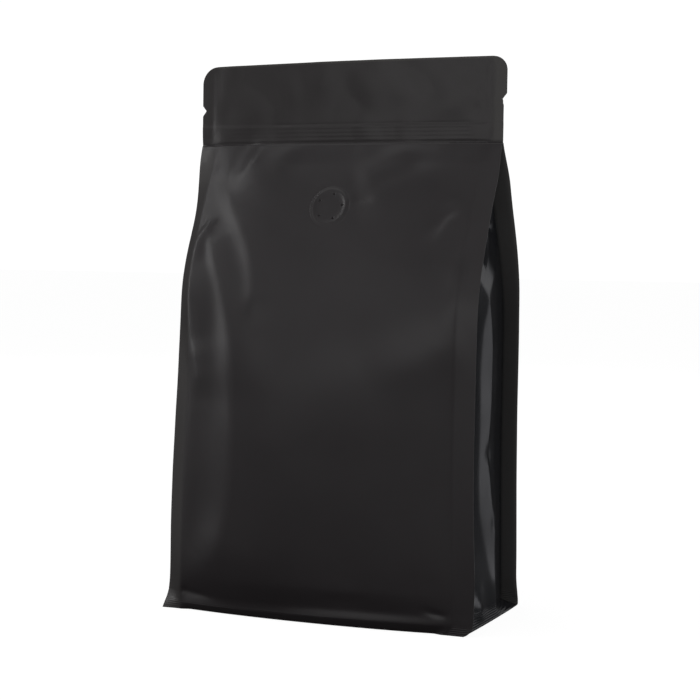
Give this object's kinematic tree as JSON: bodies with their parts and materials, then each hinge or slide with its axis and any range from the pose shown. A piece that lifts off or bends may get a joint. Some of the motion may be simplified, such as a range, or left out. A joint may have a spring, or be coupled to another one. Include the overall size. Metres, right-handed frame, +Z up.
{
  "type": "flat bottom coffee bag",
  "caption": "Filled and sealed flat bottom pouch of matte black film, with edge seals, folded side gussets, a press zip across the top strip and a degassing valve on the front.",
  "frame": {"origin": "centre of the flat base, on the surface that the bag stands on", "axes": "+Z up to the top strip, +X along the width to the viewer's right, -Y out of the front panel with the valve"},
  "size_m": [0.15, 0.092, 0.2536],
  "materials": {
    "film": "soft matte black laminate film, glossier on the gussets",
    "zip": "matte black film pressed over the zip's ribs",
    "valve": "matte black film pressed over the valve's rim"
  },
  "bodies": {
    "root": {"pouch": "film", "zip_front": "zip", "zip_back": "zip", "valve": "valve"}
  },
  "joints": []
}
